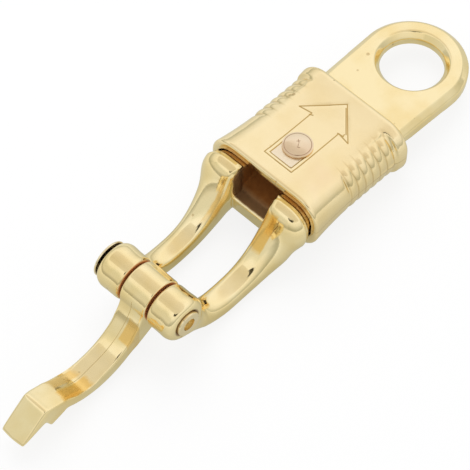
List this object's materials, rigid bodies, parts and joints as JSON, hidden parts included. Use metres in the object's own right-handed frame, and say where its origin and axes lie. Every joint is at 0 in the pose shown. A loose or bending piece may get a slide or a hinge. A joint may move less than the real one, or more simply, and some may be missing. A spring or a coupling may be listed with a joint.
{
  "type": "quick release snap",
  "caption": "Quick release snap with a round strap eye, a spring-loaded sliding sleeve and a hinged lever that swings open to free the load.",
  "frame": {"origin": "on the axis of the eye's bore, in the plane where the casting's two halves meet", "axes": "+X along the snap from the eye to the lever's hinge, +Y along the hinge pin, +Z out of the face that carries the engraved arrow"},
  "size_m": [0.1486, 0.0342, 0.0259],
  "materials": {
    "cast_brass": "polished",
    "lever_brass": "polished",
    "copper_rivet": "polished",
    "hinge_pin": "polished",
    "spring_steel": "satin"
  },
  "bodies": {
    "frame": {"body": "cast_brass", "hinge_rivet": "hinge_pin", "return_spring": "spring_steel"},
    "sliding_sleeve": {"sleeve": "cast_brass", "sleeve_rivet": "copper_rivet"},
    "swing_lever": {"lever": "lever_brass"}
  },
  "joints": [
    {"name": "sleeve_slide", "type": "slide", "parent": "frame", "child": "sliding_sleeve", "axis": [-1, 0, 0], "range_m": [0, 0.0084], "stiffness_N_per_m": 600, "springref_m": -0.004, "deforming": ["return_spring"]},
    {"name": "lever_hinge", "type": "hinge", "parent": "frame", "child": "swing_lever", "pos_m": [0.09025, 0, -0.0037], "axis": [0, -1, 0], "range_deg": [-145, 188.5]}
  ]
}
